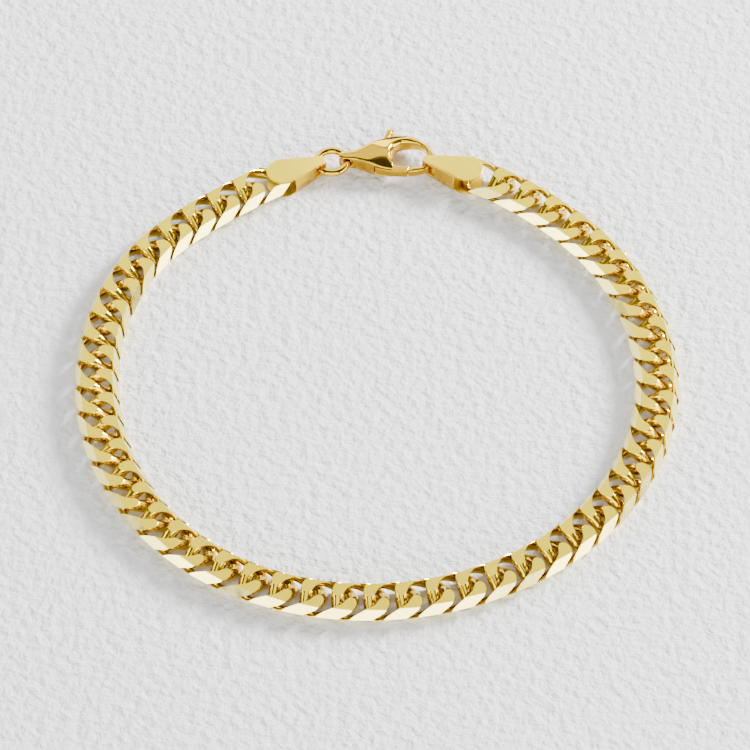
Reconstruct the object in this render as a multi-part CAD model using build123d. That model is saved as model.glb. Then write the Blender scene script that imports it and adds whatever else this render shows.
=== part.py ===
from build123d import *
import math
import os

# A bracelet of about fifty twisted, ground-flat links, closed by a lobster clasp.
# Millimetres, +Z up, lying on a table at Z = 0 with the clasp on the +Y side.

# Chain: every link is a closed ring of round wire, twisted, then ground flat
wire_d = 1.25
pitch = 3.3
link_play = 0.25
chain_t = 1.86
flat_w = 3.4
bevel_slope = 54
twist = 40
squareness = 3.2
inner_wires = 2.52
stations = 14
wire_sides = 6

# Chain route: centres of the links, seen from above, from the left cap to the right one
route_mid = [
    (-15.2, 25.4),
    (-24.2, 17.7),
    (-28.9, 6.9),
    (-29.0, -5.1),
    (-24.8, -16.2),
    (-16.6, -24.6),
    (-5.7, -28.9),
    (6.3, -28.5),
    (17.2, -23.7),
    (25.4, -15.2),
    (29.6, -4.2),
    (29.0, 7.6),
    (23.8, 18.3),
    (15.1, 26.2),
]

# End caps: a flat pear-shaped shell, folded round an eye at its narrow end
cap_l = 6.8
cap_w = 3.55
cap_tip_w = 0.95
cap_flare = 0.3
cap_sheet = 0.16
cap_clear = 0.07
cap_wall_l = 4.2
eye_play = 0.5
eye_clear = 0.12
eye_corner = 0.2
eye_wall = 0.18
eye_sheet = 0.26
link_seat = 7.45
ramp_links = 3

# Jump ring, seated in the clasp's tail and in the left cap's eye
ring_d = 3.25
ring_wire_d = 0.8
ring_to_clasp = 14
ring_to_cap = 24
seat_gap = 0.07

# Clasp body
clasp_l = 10.6
clasp_w = 6.0
clasp_t = 2.42
clasp_hook_t = 1.04
clasp_dome = 0.65
clasp_dome_w = 5.6
clasp_dome_y = 0.4
nose_rise = -0.01
tail_x = -4.0
tail_y = 31.0
tail_eye_clear = 0.2
tail_eye_wall = 0.2
tail_eye_y = 0.0
hole_l = 3.65
hole_w = 3.25
hole_far_r = 1.35
hole_near_r = 0.8
hole_bevel = 0.6
hook_bar = 0.9
hook_to_cap = -20
hook_seat_y = -0.6

# Lever: a hub on a rivet, a gate along the clasp's near edge and an arm to a thumb knob
pivot_x = 4.0
pivot_y = -0.5
hub_d = 1.8
lever_t = 0.96
gate_w = 0.75
gate_to_nose = 2.73
gate_gap = 0.08
knob_x = 5.63
knob_y = 3.8
knob_d = 1.0
knob_arm_w = 0.55
slot_clear = 0.05
lever_open = 22
pin_d = 0.7
pin_fit = 0.02
pin_run = 0.05
pin_cover = 0.35

# The clasp's outline: how far along it, and how far its near and far edges lie from its axis,
# as shares of its length and its width
clasp_outline = [
    # along, near, far
    (0.03, 0.085, 0.085),
    (0.12, 0.105, 0.10),
    (0.20, 0.13, 0.145),
    (0.30, 0.20, 0.245),
    (0.41, 0.29, 0.355),
    (0.52, 0.34, 0.445),
    (0.64, 0.36, 0.488),
    (0.76, 0.36, 0.455),
    (0.87, 0.315, 0.36),
    (0.95, 0.23, 0.225),
]
# The clasp's thickness along it, as a share of the way from its hook's thickness to its full one
clasp_profile = [
    # along, share
    (0.0, 0.5),
    (0.2, 0.6),
    (0.47, 1.0),
    (0.62, 0.85),
    (0.85, 0.1),
    (1.0, 0.0),
]

# Worked out from the sizes above
link_l = pitch + 2 * wire_d + link_play
half_l = (link_l - wire_d) / 2
half_w = (inner_wires + 1) * wire_d / 2
cap_t = chain_t + 2 * (cap_clear + cap_sheet)
mid_z = max(cap_t, clasp_t) / 2
lift = mid_z - chain_t / 2
eye_l = hook_bar + eye_play
eye_h = clasp_hook_t + 2 * eye_clear
cap_tip_t = min(eye_h + 2 * eye_sheet, cap_t)
tail_eye_d = ring_wire_d + 2 * tail_eye_clear
tail_eye_x = tail_eye_wall + tail_eye_d / 2
hole_x = clasp_l - hook_bar - hole_l / 2
hole_y = gate_w + hole_w / 2 - max(near for along, near, far in clasp_outline) * clasp_w
gate_r = clasp_l - pivot_x - gate_to_nose
pin_low = -clasp_t / 2 + pin_cover / 2
pin_high = clasp_t / 2 - pin_cover
corner_r = wire_d / 2 * math.sqrt(math.tau / (wire_sides * math.sin(math.tau / wire_sides)))


def spin(x, y, degrees):
    """A plan point turned about the origin."""
    a = math.radians(degrees)
    return (x * math.cos(a) - y * math.sin(a), x * math.sin(a) + y * math.cos(a))


def power(value, exponent):
    """A signed power, for the squared-off oval of a link."""
    return math.copysign(abs(value) ** exponent, value)


def link_point(t):
    """The wire's centre line: a squared oval whose plane turns with the distance along it."""
    x = half_l * power(math.cos(t), 2 / squareness)
    w = half_w * power(math.sin(t), 2 / squareness)
    turn = -math.radians(twist) * x / half_l
    return Vector(x, w * math.cos(turn), w * math.sin(turn))


def link_station(t):
    """The corners of the wire's section at one station."""
    centre = link_point(t)
    along = (link_point(t + 0.01) - link_point(t - 0.01)).normalized()
    turn = -math.radians(twist) * centre.X / half_l
    up = Vector(0, -math.sin(turn), math.cos(turn))
    up = (up - along * up.dot(along)).normalized()
    side = along.cross(up)
    corners = []
    for k in range(wire_sides):
        a = math.tau * k / wire_sides
        corners.append(centre + (up * math.cos(a) + side * math.sin(a)) * corner_r)
    return corners


def link_solid():
    """One twisted link, ground flat above and below and on its four long bevels."""
    rows = [link_station(math.tau * k / stations) for k in range(stations)]
    faces = []
    for i in range(stations):
        a, b = rows[i], rows[(i + 1) % stations]
        for j in range(wire_sides):
            k = (j + 1) % wire_sides
            for corner in ((a[j], a[k], b[k]), (a[j], b[k], b[j])):
                faces.append(Face(Wire.make_polygon(corner, close=True)))
    ring = Solid(Shell(faces))
    top = chain_t / 2
    waist = flat_w / 2 + top / math.tan(math.radians(bevel_slope))
    flat = flat_w / 2
    section = [(waist, 0), (flat, top), (-flat, top), (-waist, 0), (-flat, -top), (flat, -top)]
    profile = make_face(Plane.YZ * Polyline(*section, close=True))
    return ring & extrude(profile, link_l, both=True)


def sloped(first, second):
    """The heading of a line between two plan points, in degrees."""
    return math.degrees(math.atan2(second[1] - first[1], second[0] - first[0]))


def cap_outline(spread):
    """The pear outline of a cap: straight sides from its tip at X = 0 to its round end."""
    tip = cap_tip_w / 2
    wide = cap_w / 2 + spread
    round_x = cap_l - cap_w / 2
    lean = math.asin(wide / math.hypot(round_x, tip)) - math.atan2(tip, round_x)
    meet_x, meet_y = round_x - wide * math.sin(lean), wide * math.cos(lean)
    sides = Polyline((meet_x, -meet_y), (0, -tip), (0, tip), (meet_x, meet_y))
    crown = ThreePointArc((meet_x, meet_y), (round_x + wide, 0), (meet_x, -meet_y))
    return make_face([sides, crown])


def cap_profile(inset):
    """A cap seen from its side: thin at its tip, and swelling until it is full where its walls end."""
    tip = cap_tip_t / 2 - inset
    full = cap_t / 2 - inset
    swell = 2 * (full - tip) / cap_wall_l
    upper = Spline((0, tip), (cap_wall_l, full), tangents=[(1, swell), (1, 0)])
    lower = Spline((cap_wall_l, -full), (0, -tip), tangents=[(-1, 0), (-1, swell)])
    end = Polyline((cap_wall_l, full), (2 * cap_l, full), (2 * cap_l, -full), (cap_wall_l, -full))
    tip_line = Line((0, -tip), (0, tip))
    return extrude(Plane.XZ * make_face([upper, end, lower, tip_line]), cap_w, both=True)


def cap_solid():
    """A hollow cap lying along +X from its tip: two pear-shaped sheets joined by flared side walls."""
    middle = cap_outline(cap_flare)
    half = cap_t / 2
    upper = loft([middle, Pos(0, 0, half) * cap_outline(0)])
    lower = loft([Pos(0, 0, -half) * cap_outline(0), middle])
    room = chain_t / 2 + cap_clear
    inner_middle = cap_outline(cap_flare - cap_sheet)
    inner_upper = loft([inner_middle, Pos(0, 0, room) * cap_outline(-cap_sheet)])
    inner_lower = loft([Pos(0, 0, -room) * cap_outline(-cap_sheet), inner_middle])
    pocket_x = eye_wall + eye_l + cap_sheet
    behind_eye = Pos(pocket_x + cap_l, 0, 0) * Box(2 * cap_l, 2 * cap_w, cap_t)
    mouth = Pos(cap_wall_l + cap_l, 0, 0) * Box(2 * cap_l, 2 * cap_w, 2 * room)
    inside = (inner_upper + inner_lower) & cap_profile(cap_sheet) & behind_eye
    shell = ((upper + lower) & cap_profile(0)) - inside - mouth
    eye = Plane.XZ * Pos(eye_wall + eye_l / 2, 0) * RectangleRounded(eye_l, eye_h, eye_corner)
    return shell - extrude(eye, cap_w, both=True)


def cap_place(tip, heading):
    """Where a cap goes: its tip at a plan point, its round end along the heading."""
    return Pos(tip[0], tip[1], mid_z) * Rot(0, 0, heading)


def ring_solid():
    """A jump ring, closed and soldered, lying flat through the cap's eye and the clasp's eye."""
    return Pos(ring_centre[0], ring_centre[1], mid_z) * Torus(ring_d / 2, ring_wire_d / 2)


def clasp_edge(side):
    """Plan points of one long edge of the clasp: -1 for the near edge, 1 for the far one."""
    column = 1 if side < 0 else 2
    return [(row[0] * clasp_l, side * row[column] * clasp_w) for row in clasp_outline]


def clasp_face():
    """The clasp's closed plan outline, its tail's end at the origin."""
    far = clasp_edge(1)
    near = list(reversed(clasp_edge(-1)))
    nose = (clasp_l, nose_rise * clasp_w)
    return make_face(Spline([(0, 0)] + far + [nose] + near, periodic=True))


def clasp_blank():
    """The clasp's outer form: its outline, its thickness profile and its domed faces, all in one."""
    half = clasp_t / 2
    plan = extrude(clasp_face(), half, both=True)
    rise = [(x * clasp_l, clasp_hook_t / 2 + s * (half - clasp_hook_t / 2)) for x, s in clasp_profile]
    top = Spline(rise)
    bottom = Spline([(x, -z) for x, z in reversed(rise)])
    ends = [Line(top @ 1, bottom @ 0), Line(bottom @ 1, top @ 0)]
    side_view = extrude(Plane.XZ * make_face([top, ends[0], bottom, ends[1]]), clasp_w, both=True)
    edge = half - clasp_dome
    near, far = clasp_dome_y - clasp_dome_w / 2, clasp_dome_y + clasp_dome_w / 2
    crown = ThreePointArc((near, edge), (clasp_dome_y, half), (far, edge))
    keel = ThreePointArc((far, -edge), (clasp_dome_y, -half), (near, -edge))
    walls = [Line(crown @ 1, keel @ 0), Line(keel @ 1, crown @ 0)]
    end_view = extrude(Plane.YZ * make_face([crown, walls[0], keel, walls[1]]), clasp_l, both=True)
    return plan & end_view & side_view


def hole_outline(spread):
    """The outline of the clasp's opening, spread out for its bevelled rim."""
    plan = Rectangle(hole_l + 2 * spread, hole_w + 2 * spread)
    widest = 0.45 * min(hole_l, hole_w)
    plan = fillet(plan.vertices().group_by(Axis.Y)[-1], min(hole_far_r, widest) + spread)
    plan = fillet(plan.vertices().group_by(Axis.Y)[0], min(hole_near_r, widest) + spread)
    return Pos(hole_x, hole_y) * plan


def gate_strip(grow):
    """The band along the clasp's near edge that the gate fills."""
    upper = [(x, y + gate_w + grow) for x, y in clasp_edge(-1)[2:]]
    deep = -clasp_w
    curve = Spline(upper)
    rest = Polyline(curve @ 1, (upper[-1][0], deep), (upper[0][0], deep), curve @ 0)
    return make_face([curve, rest])


def gate_room(grow):
    """The part of that band from the pivot to an arc about it, where the gate ends."""
    sweep = Pos(pivot_x, pivot_y) * Circle(gate_r + grow)
    ahead = Pos(pivot_x - grow + clasp_l / 2, 0) * Rectangle(clasp_l, 2 * clasp_w)
    return gate_strip(grow) & sweep & ahead


def lever_face(gate, grow):
    """The lever in plan: its hub, its gate and the arm out to its knob."""
    hub = Pos(pivot_x, pivot_y) * Circle(hub_d / 2 + grow)
    reach = math.hypot(knob_x - pivot_x, knob_y - pivot_y)
    lean = sloped((pivot_x, pivot_y), (knob_x, knob_y))
    arm = Pos(reach / 2, 0) * Rectangle(reach, knob_arm_w + 2 * grow)
    return hub + gate + Pos(pivot_x, pivot_y) * Rot(0, 0, lean) * arm


def about_pivot(shape, degrees):
    """A shape turned about the lever's pivot."""
    return Pos(pivot_x, pivot_y) * Rot(0, 0, degrees) * Pos(-pivot_x, -pivot_y) * shape


def lever_solid():
    """The sprung lever, with its thumb knob and the bore for its rivet."""
    plate = extrude(lever_face(gate_room(0) & clasp_face(), 0), lever_t / 2, both=True)
    knob = Pos(knob_x, knob_y) * Sphere(knob_d / 2)
    bore = Pos(pivot_x, pivot_y) * Cylinder(pin_d / 2 + pin_run, clasp_t)
    return plate + knob - bore


def slot_solid():
    """The room that the lever sweeps inside the body."""
    height = lever_t / 2 + slot_clear
    steps = 5
    knob = Pos(knob_x, knob_y) * Circle(knob_d / 2 + slot_clear)
    stroke = extrude(lever_face(gate_room(slot_clear), slot_clear) + knob, height, both=True)
    room = stroke
    for k in range(1, steps):
        room += about_pivot(stroke, lever_open * k / (steps - 1))
    return room


def pin_solid():
    """The rivet, let in from below and covered above."""
    return Pos(pivot_x, pivot_y, (pin_low + pin_high) / 2) * Cylinder(pin_d / 2, pin_high - pin_low)


def body_solid():
    """The clasp's body: the domed form less its opening, the gate's gap, the lever's slot and the eyes."""
    half = clasp_t / 2
    body = clasp_blank()
    body -= extrude(hole_outline(0), half, both=True)
    for side in (1, -1):
        inner = Pos(0, 0, side * (half - hole_bevel)) * hole_outline(0)
        outer = Pos(0, 0, side * half) * hole_outline(hole_bevel)
        body -= loft([inner, outer])
    gap = gate_strip(hole_near_r / 2) & (Pos(pivot_x, pivot_y) * Circle(gate_r + gate_gap))
    gap &= Pos(hole_x - hole_l / 2 + clasp_l / 2, 0) * Rectangle(clasp_l, 2 * clasp_w)
    body -= extrude(gap, half, both=True)
    for side in (1, -1):
        shelf = Box(clasp_l, clasp_w, half, align=(Align.MIN, Align.MAX, Align.CENTER))
        body -= Pos(hole_x - hole_l / 4, hole_y - hole_w / 4, side * (clasp_hook_t + half) / 2) * shelf
    body -= slot_solid()
    bore = Cylinder(pin_d / 2 + pin_fit, pin_high - pin_low)
    body -= Pos(pivot_x, pivot_y, (pin_low + pin_high) / 2) * bore
    eye = Pos(tail_eye_x, tail_eye_y) * Rot(0, 0, ring_to_clasp) * Rot(90, 0, 0)
    return body - eye * Cylinder(tail_eye_d / 2, clasp_w)


def cap_point(tip, heading, along):
    """A plan point on a cap's axis."""
    dx, dy = spin(along, 0, heading)
    return (tip[0] + dx, tip[1] + dy)


def bow(radius, half_width):
    """How far a circle bows out over a straight seat."""
    return radius - math.sqrt(radius**2 - half_width**2)


def ramp(share):
    """A smooth fall from 1 at the cap to 0 where the chain lies flat."""
    s = min(max(share, 0), 1)
    return 1 - s * s * (3 - 2 * s)


def link_places():
    """The place of every link: equal steps along the route, lifted at both ends to meet the caps."""
    first = cap_point(left_tip, left_heading, link_seat)
    last = cap_point(right_tip, hook_to_cap, link_seat)
    route = Spline([first] + route_mid + [last])
    count = round(route.length / pitch) + 1
    places = []
    for k in range(count):
        here = route.position_at(k / (count - 1))
        along = route.tangent_at(k / (count - 1))
        ends = min(k, count - 1 - k) / ramp_links
        height = lift * ramp(ends)
        slope = lift * (ramp(ends - 0.5 / ramp_links) - ramp(ends + 0.5 / ramp_links)) / pitch
        height = max(height, link_l / 2 * abs(slope))
        tilt = math.degrees(math.atan(slope)) * (1 if k < count / 2 else -1)
        heading = math.degrees(math.atan2(along.Y, along.X))
        places.append(Pos(here.X, here.Y, chain_t / 2 + height) * Rot(0, 0, heading) * Rot(0, tilt, 0))
    return places


# Where the pieces meet: the ring hangs in the clasp's tail, the left cap on the ring,
# and the right cap on the clasp's hook
tail_half = (clasp_outline[0][2] + clasp_outline[1][2]) / 2 * clasp_w
tail_dx, tail_dy = spin(ring_d / 2 - bow(ring_d / 2, tail_half) / 2, 0, ring_to_clasp)
ring_centre = (tail_x + tail_eye_x - tail_dx, tail_y + tail_eye_y - tail_dy)
left_heading = 180 + ring_to_cap
ring_bore = (ring_d - ring_wire_d) / 2
left_seat = ring_bore - bow(ring_bore, (cap_tip_w + eye_wall) / 2) - seat_gap - eye_wall
left_tip = cap_point(ring_centre, left_heading, left_seat)
bar_x = tail_x + clasp_l - hook_bar
wall_reach = spin(eye_wall, -cap_tip_w / 2, abs(hook_to_cap))[0]
right_tip = (bar_x - seat_gap - wall_reach, tail_y + hook_seat_y)
clasp_at = Pos(tail_x, tail_y, mid_z)

link = link_solid()
cap = cap_solid()
pieces = {
    "chain": Compound([place * link for place in link_places()]),
    "end_cap_left": cap_place(left_tip, left_heading) * cap,
    "end_cap_right": cap_place(right_tip, hook_to_cap) * cap,
    "jump_ring": ring_solid(),
    "clasp_body": clasp_at * body_solid(),
    "clasp_lever": clasp_at * lever_solid(),
    "clasp_pin": clasp_at * pin_solid(),
}

# The origin is under the middle of the whole bracelet, on the table
whole = Compound(list(pieces.values())).bounding_box()
to_origin = Pos(-whole.center().X, -whole.center().Y, -whole.min.Z)
os.makedirs("parts", exist_ok=True)
for name, shape in pieces.items():
    export_step(to_origin * shape, f"parts/{name}.step")
print("moved to the origin by", to_origin.position)
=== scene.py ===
import math

import bmesh
import bpy
import numpy as np
from mathutils import Matrix, Vector


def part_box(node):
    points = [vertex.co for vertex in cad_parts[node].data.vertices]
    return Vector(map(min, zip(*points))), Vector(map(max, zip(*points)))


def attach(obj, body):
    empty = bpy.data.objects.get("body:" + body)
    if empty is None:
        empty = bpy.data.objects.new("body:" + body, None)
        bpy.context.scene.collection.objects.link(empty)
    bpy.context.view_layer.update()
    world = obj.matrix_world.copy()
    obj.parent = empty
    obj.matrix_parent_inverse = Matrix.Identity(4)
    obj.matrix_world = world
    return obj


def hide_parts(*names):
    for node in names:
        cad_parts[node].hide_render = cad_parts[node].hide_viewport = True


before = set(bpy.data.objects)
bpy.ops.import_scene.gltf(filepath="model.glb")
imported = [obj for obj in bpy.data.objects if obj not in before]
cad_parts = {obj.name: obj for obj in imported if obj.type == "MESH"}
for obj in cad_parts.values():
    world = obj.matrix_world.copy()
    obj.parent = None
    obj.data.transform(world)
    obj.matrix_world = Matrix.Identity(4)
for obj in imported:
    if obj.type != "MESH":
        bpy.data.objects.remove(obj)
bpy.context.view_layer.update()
MM = 0.001


# The chain: fifty curb links of round gold wire, each bent to an oval, hooked through the next,
# soldered shut and twisted. The finished chain is ground flat on both faces and cut with four long
# bevels. The round wire drawn here lies within the corners of the solids' six-sided wire.
WIRE_D = 1.35 * MM
LINK_L = 6.15 * MM
LINE_HALF_W = 2.2 * MM
CHAIN_T = 1.86 * MM
FLAT_W = 3.4 * MM
BEVEL_SLOPE = math.radians(54)
TWIST = math.radians(40)
SQUARENESS = 3.2
EDGE_ROUND = 0.08 * MM
FLAT_MARK = 1
BEVEL_MARK = 2

# How finely the wire, its centre line and its rounded edges are divided, and how near a point, a
# face or another point has to be to count as on a plane, level with the next or the same.
WIRE_STATIONS = 72
WIRE_SIDES = 20
LINE_STEPS = 4001
TANGENT_STEP = 0.002
EDGE_STEPS = 2
ON_PLANE = 1e-5 * MM
SAME_POINT = 1e-4 * MM
LEVEL_ANGLE = 0.001


def mesh_object(name, corners, faces):
    """A new smooth-shaded object from whole arrays of corners and faces, at the origin."""
    mesh = bpy.data.meshes.new(name)
    mesh.from_pydata(corners.tolist(), [], faces.tolist())
    mesh.polygons.foreach_set("use_smooth", [True] * len(mesh.polygons))
    obj = bpy.data.objects.new(name, mesh)
    bpy.context.scene.collection.objects.link(obj)
    return obj


def tube_faces(rings, sides):
    """Quads between neighbouring rings of a closed grid of rings by sides, wound outwards."""
    i, j = np.meshgrid(np.arange(rings), np.arange(sides), indexing="ij")
    k, m = (i + 1) % rings, (j + 1) % sides
    quads = [i * sides + j, i * sides + m, k * sides + m, k * sides + j]
    return np.stack(quads, -1).reshape(-1, 4)


def link_line(t):
    """The wire's centre line: x = a cos t and w = b sin t, both to the power 2 / squareness,
    and w turned about the x axis by the twist in proportion to x."""
    half = (LINK_L - WIRE_D) / 2
    c, s = np.cos(t), np.sin(t)
    x = half * np.sign(c) * np.abs(c) ** (2 / SQUARENESS)
    w = LINE_HALF_W * np.sign(s) * np.abs(s) ** (2 / SQUARENESS)
    turn = -TWIST * x / half
    return np.stack([x, w * np.cos(turn), w * np.sin(turn)], -1)


def link_tube():
    """The round wire: circles of the wire's radius, square to the centre line at even steps of
    its length, their first axis kept on the twisted plane's normal."""
    fine = np.linspace(0, math.tau, LINE_STEPS)
    line = link_line(fine)
    run = np.r_[0, np.cumsum(np.linalg.norm(np.diff(line, axis=0), axis=1))]
    t = np.interp(np.arange(WIRE_STATIONS) / WIRE_STATIONS * run[-1], run, fine)
    centre = link_line(t)
    along = link_line(t + TANGENT_STEP) - link_line(t - TANGENT_STEP)
    along /= np.linalg.norm(along, axis=1, keepdims=True)
    turn = -TWIST * centre[:, 0] / centre[:, 0].max()
    up = np.stack([0 * turn, -np.sin(turn), np.cos(turn)], -1)
    up -= along * (up * along).sum(1, keepdims=True)
    up /= np.linalg.norm(up, axis=1, keepdims=True)
    side = np.cross(along, up)
    a = np.arange(WIRE_SIDES) / WIRE_SIDES * math.tau
    ring = np.cos(a)[None, :, None] * up[:, None] + np.sin(a)[None, :, None] * side[:, None]
    return (centre[:, None] + WIRE_D / 2 * ring).reshape(-1, 3)


def grinding_planes():
    """The planes that a link is cut by, each as a point, an outward normal and the mark of its
    cut face: two flats at half the chain's thickness and four bevels through the flats' edges."""
    top = CHAIN_T / 2
    planes = [((0, 0, z * top), (0, 0, z), FLAT_MARK) for z in (1, -1)]
    for y in (1, -1):
        for z in (1, -1):
            normal = (0, y * math.sin(BEVEL_SLOPE), z * math.cos(BEVEL_SLOPE))
            planes.append(((0, y * FLAT_W / 2, z * top), normal, BEVEL_MARK))
    return planes


def ground_link():
    """One link: the tube cut by the grinding planes, its cuts filled and marked, and the edges
    between faces of different marks rounded."""
    tube = mesh_object("link_tube", link_tube(), tube_faces(WIRE_STATIONS, WIRE_SIDES))
    work = bmesh.new()
    work.from_mesh(tube.data)
    bpy.data.objects.remove(tube)
    bmesh.ops.recalc_face_normals(work, faces=work.faces)
    cut_mark = work.faces.layers.int.new("cut")
    for point, normal, mark in grinding_planes():
        whole = work.verts[:] + work.edges[:] + work.faces[:]
        made = bmesh.ops.bisect_plane(
            work, geom=whole, dist=ON_PLANE, plane_co=point, plane_no=normal, clear_outer=True
        )
        rim = [e for e in made["geom_cut"] if isinstance(e, bmesh.types.BMEdge)]
        filled = bmesh.ops.triangle_fill(work, edges=rim, use_beauty=True, normal=normal)
        for face in filled["geom"]:
            if isinstance(face, bmesh.types.BMFace):
                face[cut_mark] = mark
    bmesh.ops.recalc_face_normals(work, faces=work.faces)
    bmesh.ops.dissolve_limit(
        work, angle_limit=LEVEL_ANGLE, verts=work.verts, edges=work.edges, delimit={"NORMAL"}
    )
    rims = [e for e in work.edges if len(e.link_faces) == 2]
    rims = [e for e in rims if e.link_faces[0][cut_mark] != e.link_faces[1][cut_mark]]
    bmesh.ops.bevel(
        work,
        geom=rims,
        offset=EDGE_ROUND,
        segments=EDGE_STEPS,
        affect="EDGES",
        profile=0.5,
        clamp_overlap=True,
    )
    bmesh.ops.triangulate(work, faces=work.faces)
    mesh = bpy.data.meshes.new("link")
    work.to_mesh(mesh)
    work.free()
    return mesh


def merged_copy(node):
    """A copy of a CAD node's mesh with its loose triangles joined to each other, as a bmesh."""
    work = bmesh.new()
    work.from_mesh(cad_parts[node].data)
    bmesh.ops.remove_doubles(work, verts=work.verts, dist=SAME_POINT)
    bmesh.ops.triangulate(work, faces=work.faces)
    return work


def solid_numbers(tris, count):
    """The number of the solid that each corner is in: every corner starts with its own number
    and takes the lowest one among its triangles' corners, until nothing changes."""
    number = np.arange(count)
    while True:
        lowest = number[tris].min(1)
        before = number.copy()
        for corner in range(3):
            np.minimum.at(number, tris[:, corner], lowest)
        number = number[number]
        if (number == before).all():
            return number


def loose_parts(node):
    """The loose solids of a CAD node: for each one its middle and its three main axes, shortest
    first, from the area-weighted second moments of its triangles."""
    work = merged_copy(node)
    points = np.array([v.co for v in work.verts])
    tris = np.array([[v.index for v in f.verts] for f in work.faces])
    work.free()
    solid = solid_numbers(tris, len(points))[tris[:, 0]]
    places = []
    for number in np.unique(solid):
        corners = points[tris[solid == number]]
        cross = np.cross(corners[:, 1] - corners[:, 0], corners[:, 2] - corners[:, 0])
        area = np.linalg.norm(cross, axis=1)
        middle = (corners.mean(1) * area[:, None]).sum(0) / area.sum()
        offset = corners - middle
        total = offset.sum(1)
        spread = np.einsum("n,nij,nik->jk", area, offset, offset)
        spread += np.einsum("n,nj,nk->jk", area, total, total)
        places.append((middle, np.linalg.eigh(spread)[1]))
    return places


def placed_copies(mesh, places):
    """Corners, faces and face marks of the mesh set down at every place: corner = middle + x *
    the longest axis + y * the middle one + z * the shortest one, which points up."""
    corners = np.array([v.co for v in mesh.vertices])
    marks = np.array([d.value for d in mesh.attributes["cut"].data])
    tris = np.array([f.vertices[:] for f in mesh.polygons])
    middles = np.array([middle for middle, axes in places])
    axes = np.array([axes for middle, axes in places])
    z = axes[:, :, 0] * np.sign(axes[:, 2:, 0])
    x = axes[:, :, 2]
    frames = np.stack([x, np.cross(z, x), z], 1)
    starts = np.arange(len(places))[:, None, None] * len(corners)
    all_corners = (middles[:, None] + corners @ frames).reshape(-1, 3)
    return all_corners, (starts + tris).reshape(-1, 3), np.tile(marks, len(places))


def srgb(code):
    """Turns an sRGB hex colour into the linear colour that a shader takes."""
    parts = [int(code[k : k + 2], 16) / 255 for k in (1, 3, 5)]
    return [c / 12.92 if c <= 0.04045 else ((c + 0.055) / 1.055) ** 2.4 for c in parts] + [1]


def add_node(tree, kind, settings=None, **links):
    """Adds one shader node, sets its values and properties and links its named inputs."""
    node = tree.nodes.new(kind)
    for name, value in (settings or {}).items():
        if name in node.inputs:
            node.inputs[name].default_value = value
        else:
            setattr(node, name, value)
    for name, source in links.items():
        tree.links.new(source, node.inputs[name.replace("_", " ")])
    return node


# Handling wears polished gold in patches of about a millimetre. Noise keeps mostly between the
# two values here, so they stand for the least and the most worn places. Drawing, grinding and
# polishing all leave marks that are long and narrow, eight times as long as they are wide.
WEAR_SIZE = 1.4 * MM
WEAR_LEAST, WEAR_MOST = 0.3, 0.7
MARK_SQUEEZE = (1.0, 0.12, 1.0)


def gold(name, colour, low, high, grain, depth):
    """Solid 14 carat gold. Its roughness wanders from low to high over the wear's size. Marks
    of the given grain, in marks per millimetre, stand depth millimetres deep. The real marks are
    too fine to show, so they are drawn as coarse as they need to be for the render."""
    material = bpy.data.materials.new(name)
    material.use_nodes = True
    tree = material.node_tree
    shader = tree.nodes["Principled BSDF"]
    shader.inputs["Base Color"].default_value = srgb(colour)
    shader.inputs["Metallic"].default_value = 1.0
    place = add_node(tree, "ShaderNodeTexCoord").outputs["Object"]
    worn = add_node(
        tree, "ShaderNodeTexNoise", {"Scale": 1 / WEAR_SIZE, "Detail": 3.0}, Vector=place
    )
    rough = add_node(
        tree,
        "ShaderNodeMapRange",
        {"From Min": WEAR_LEAST, "From Max": WEAR_MOST, "To Min": low, "To Max": high},
        Value=worn.outputs["Fac"],
    )
    tree.links.new(rough.outputs["Result"], shader.inputs["Roughness"])
    long_way = add_node(tree, "ShaderNodeMapping", {"Scale": MARK_SQUEEZE}, Vector=place)
    marks = add_node(
        tree,
        "ShaderNodeTexNoise",
        {"Scale": grain / MM, "Detail": 2.0},
        Vector=long_way.outputs["Vector"],
    )
    bump = add_node(
        tree,
        "ShaderNodeBump",
        {"Strength": 1.0, "Distance": depth * MM},
        Height=marks.outputs["Fac"],
    )
    tree.links.new(bump.outputs["Normal"], shader.inputs["Normal"])
    return material


# Wire as drawn through the die and tumbled, a smooth deep yellow that mirrors its surroundings.
drawn_gold = gold("drawn_gold_wire", "#D9BA1E", 0.10, 0.18, 3.0, 0.002)
# The wheel's fine scratches spread the light on the flats; their colour, paler than the wire's and
# one soft, even tone at every link, is painted sheen.
ground_gold_painted_sheen = gold("ground_gold_flats_painted_sheen", "#EED41F", 0.30, 0.40, 12.0, 0.001)
# The bevels are cut with a diamond and flash where they face a light; their pale, near-white
# colour is a painted highlight.
bright_gold_painted_highlight = gold("bright_cut_gold_bevels_painted_highlight", "#FFF08C", 0.12, 0.20, 1.0, 0.004)

corners, faces, marks = placed_copies(ground_link(), loose_parts("chain"))
chain = mesh_object("curb_links", corners, faces)
for material in (drawn_gold, ground_gold_painted_sheen, bright_gold_painted_highlight):
    chain.data.materials.append(material)
# By these marks the flats get the paler colour, a painted sheen, and the bevels the near-white
# one, a painted highlight.
chain.data.polygons.foreach_set("material_index", marks)
chain.data.polygons.foreach_set("use_smooth", marks == 0)
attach(chain, "bracelet")
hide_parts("chain")


# The end caps: each is gold sheet folded and soldered into a hollow pear that holds the last link
# of the chain in its wide end. The faces are satin finished and the side walls polished, and the
# edges are rounded by filing.
CAP_GRAIN = 0.055 * MM
CAP_PASSES = 10
FACE_SLOPE = math.radians(30)


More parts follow.
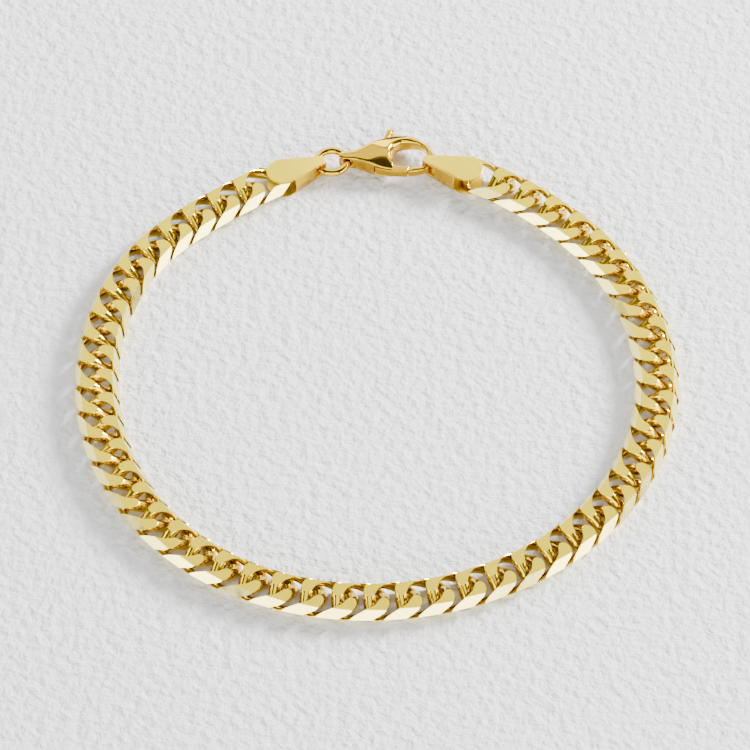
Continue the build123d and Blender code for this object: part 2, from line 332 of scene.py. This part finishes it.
def softened(node, name, grain, passes):
    """A CAD solid with its edges rounded off as by polishing: the mesh is cut into even squares
    of the grain, and each pass moves every corner half way to its neighbours. The squares are
    cut at a thousand times the size, because they are too small for the modifier in metres."""
    work = merged_copy(node)
    mesh = bpy.data.meshes.new(name)
    work.to_mesh(mesh)
    work.free()
    mesh.transform(Matrix.Scale(1 / MM, 4))
    block = bpy.data.objects.new(name + "_block", mesh)
    bpy.context.scene.collection.objects.link(block)
    squares = block.modifiers.new("squares", "REMESH")
    squares.mode = "VOXEL"
    squares.voxel_size = grain / MM
    polish = block.modifiers.new("polish", "SMOOTH")
    polish.factor = 0.5
    polish.iterations = passes
    bpy.context.view_layer.update()
    shape = block.evaluated_get(bpy.context.evaluated_depsgraph_get())
    soft = bpy.data.meshes.new_from_object(shape)
    bpy.data.objects.remove(block)
    soft.transform(Matrix.Scale(MM, 4))
    soft.polygons.foreach_set("use_smooth", [True] * len(soft.polygons))
    soft.materials.clear()
    obj = bpy.data.objects.new(name, soft)
    bpy.context.scene.collection.objects.link(obj)
    return obj


def paint_by_slope(obj, level, leaning, most):
    """Gives the faces whose normal is within the most slope of straight up or down the level
    material, and all the others the leaning one."""
    mesh = obj.data
    mesh.materials.append(level)
    mesh.materials.append(leaning)
    normals = np.empty(len(mesh.polygons) * 3)
    mesh.polygons.foreach_get("normal", normals)
    leans = np.abs(normals.reshape(-1, 3)[:, 2]) < math.cos(most)
    mesh.polygons.foreach_set("material_index", leans.astype(int))


# Rubbed with fine grit, the faces spread the light; their colour, paler than the walls under them,
# is painted sheen.
satin_gold_painted_sheen = gold("satin_gold_cap_faces_painted_sheen", "#E8CE1C", 0.38, 0.48, 14.0, 0.001)
# The walls are only buffed, so they mirror the surroundings a little blurred; their deeper colour
# is painted shade.
wall_gold_painted_shade = gold("polished_gold_cap_walls_painted_shade", "#DAB01A", 0.16, 0.26, 2.0, 0.003)

for name in ("end_cap_left", "end_cap_right"):
    cap = softened(name, name + "_sheet", CAP_GRAIN, CAP_PASSES)
    # Faces near level get the paler colour, a painted sheen, and the walls the deeper one, a
    # painted shade.
    paint_by_slope(cap, satin_gold_painted_sheen, wall_gold_painted_shade, FACE_SLOPE)
    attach(cap, "bracelet")
    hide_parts(name)


# The jump ring: round gold wire bent into a circle through the left cap's eye and the clasp's,
# soldered shut and polished.
RING_D = 3.25 * MM
RING_WIRE_D = 0.8 * MM
RING_STATIONS = 96
RING_SIDES = 32


def ring_surface(middle):
    """A torus about the middle: corner = middle + (R + r cos b) (cos a, sin a, 0) + r sin b
    up."""
    a = np.arange(RING_STATIONS)[:, None] / RING_STATIONS * math.tau
    b = np.arange(RING_SIDES)[None, :] / RING_SIDES * math.tau
    out = RING_D / 2 + RING_WIRE_D / 2 * np.cos(b)
    rise = RING_WIRE_D / 2 * np.sin(b) + 0 * a
    return middle + np.stack([out * np.cos(a), out * np.sin(a), rise], -1).reshape(-1, 3)


# Buffed to a mirror, so its tone comes from what it reflects, as bright and dark bands.
polished_gold = gold("polished_gold", "#DFB220", 0.09, 0.15, 1.5, 0.003)

low, high = (np.array(corner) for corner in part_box("jump_ring"))
around = tube_faces(RING_STATIONS, RING_SIDES)
ring = mesh_object("soldered_ring", ring_surface((low + high) / 2), around)
ring.data.materials.append(polished_gold)
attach(ring, "bracelet")
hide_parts("jump_ring")


# The clasp: a cast gold body with a domed top and a bevelled opening, the lever that closes it and
# the rivet that the lever turns on, all polished to a mirror. The body is polished until its dome
# is round, and the lever only until its edges are soft. The rivet's own solid is kept.
CLASP_GRAIN = 0.045 * MM
BODY_PASSES = 160
LEVER_PASSES = 6
clasp = softened("clasp_body", "cast_clasp", CLASP_GRAIN, BODY_PASSES)
clasp.data.materials.append(polished_gold)
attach(clasp, "bracelet")
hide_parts("clasp_body")
lever = softened("clasp_lever", "sprung_lever", CLASP_GRAIN, LEVER_PASSES)
lever.data.materials.append(polished_gold)
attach(lever, "lever")
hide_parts("clasp_lever")
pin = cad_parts["clasp_pin"]
pin.data.materials.clear()
pin.data.materials.append(polished_gold)


# The surface that the bracelet lies on: a sheet of heavy white paper, pressed with a fine tooth.
# Its hollows and ridges are about a millimetre apart.
PAPER_SIZE = 3000 * MM
TOOTH_SIZE = 1.1 * MM
TOOTH_DEPTH = 0.5 * MM
PAPER_ROUGHNESS = 0.95


def flat_sheet(name, width, height):
    """A rectangle about the origin, facing up: its four corners and the one face on them."""
    signs = np.array([[-1, -1, 0], [1, -1, 0], [1, 1, 0], [-1, 1, 0]])
    return mesh_object(name, signs * [width / 2, height / 2, 0], np.array([[0, 1, 2, 3]]))


# Uncoated paper has no gloss at all, and its tooth shows as a soft grey mottle.
paper = bpy.data.materials.new("white_toothed_paper")
paper.use_nodes = True
tree = paper.node_tree
shader = tree.nodes["Principled BSDF"]
shader.inputs["Base Color"].default_value = srgb("#E9E9EA")
shader.inputs["Roughness"].default_value = PAPER_ROUGHNESS
place = add_node(tree, "ShaderNodeTexCoord").outputs["Object"]
tooth = add_node(
    tree, "ShaderNodeTexNoise", {"Scale": 1 / TOOTH_SIZE, "Detail": 4.0}, Vector=place
)
bump = add_node(
    tree,
    "ShaderNodeBump",
    {"Strength": 1.0, "Distance": TOOTH_DEPTH},
    Height=tooth.outputs["Fac"],
)
tree.links.new(bump.outputs["Normal"], shader.inputs["Normal"])

floor = flat_sheet("paper", PAPER_SIZE, PAPER_SIZE)
floor.data.materials.append(paper)


# The camera looks down from the front at the chain's upper face, through a long lens from a
# little over half a metre away. It aims at the point that the middle of the picture shows.
CAMERA_SLOPE = math.radians(50.9)
CAMERA_FAR = 585.1 * MM
CAMERA_LENS = 264.96
CAMERA_SENSOR = 36
CAMERA_CLIP = 10
AIM_X = -0.21623 * MM
AIM_Y = -1.7986 * MM
camera = bpy.data.objects.new("camera", bpy.data.cameras.new("camera"))
bpy.context.scene.collection.objects.link(camera)
camera.data.sensor_width = CAMERA_SENSOR
camera.data.lens = CAMERA_LENS
camera.data.clip_end = CAMERA_CLIP
back = Vector((0, -math.cos(CAMERA_SLOPE), math.sin(CAMERA_SLOPE)))
camera.location = Vector((AIM_X, AIM_Y, CHAIN_T)) + CAMERA_FAR * back
camera.rotation_euler = (math.pi / 2 - CAMERA_SLOPE, 0, 0)
bpy.context.scene.camera = camera


# The light: a pale tent with soft boxes all round, low ones that brighten the bevels and walls,
# and a small strong one behind on the right that casts the shadows. A black velvet card overhead
# is what polished gold mirrors as its dark lines.
SOFTBOXES = [
    # name, turn from the front and slope in degrees, distance, width and height in metres, watts
    ("front_box", 0, 19, 0.8, 1.2, 0.3, 8.0),
    ("left_box", 285, 15, 0.8, 0.8, 0.26, 5.0),
    ("right_box", 75, 15, 0.8, 0.8, 0.26, 6.0),
    ("back_box", 180, 30, 0.8, 1.0, 0.3, 5.5),
    ("upper_back_box", 180, 54, 0.9, 1.0, 0.3, 1.6),
    ("upper_front_box", 0, 50, 0.9, 0.9, 0.25, 2.0),
    ("key_box", 122, 22, 0.8, 0.25, 0.2, 31.0),
]
CARD_W = 900 * MM
CARD_H = 600 * MM
CARD_SLOPE = 90
CARD_FAR = 750 * MM
TENT_GLOW = 0.25


def aimed(obj, turn, slope, distance):
    """Sets a light or a card at a turn and a slope in degrees, facing the bracelet."""
    a, b = math.radians(turn), math.radians(slope)
    place = Vector((math.sin(a) * math.cos(b), -math.cos(a) * math.cos(b), math.sin(b)))
    obj.location = place * distance
    obj.rotation_euler = place.to_track_quat("Z", "Y").to_euler()


for name, turn, slope, distance, width, height, watts in SOFTBOXES:
    light = bpy.data.lights.new(name, "AREA")
    light.shape = "RECTANGLE"
    light.size, light.size_y = width, height
    light.energy = watts
    box = bpy.data.objects.new(name, light)
    bpy.context.scene.collection.objects.link(box)
    aimed(box, turn, slope, distance)

# Cotton velvet takes in nearly all light, so its reflection in the gold is almost black.
velvet = bpy.data.materials.new("black_velvet")
velvet.use_nodes = True
shader = velvet.node_tree.nodes["Principled BSDF"]
shader.inputs["Base Color"].default_value = srgb("#101010")
shader.inputs["Roughness"].default_value = 1.0

card = flat_sheet("overhead_card", CARD_W, CARD_H)
card.data.materials.append(velvet)
aimed(card, 0, CARD_SLOPE, CARD_FAR)

world = bpy.data.worlds.new("studio")
bpy.context.scene.world = world
world.use_nodes = True
glow = world.node_tree.nodes["Background"]
glow.inputs["Color"].default_value = srgb("#F4F5F8")
glow.inputs["Strength"].default_value = TENT_GLOW
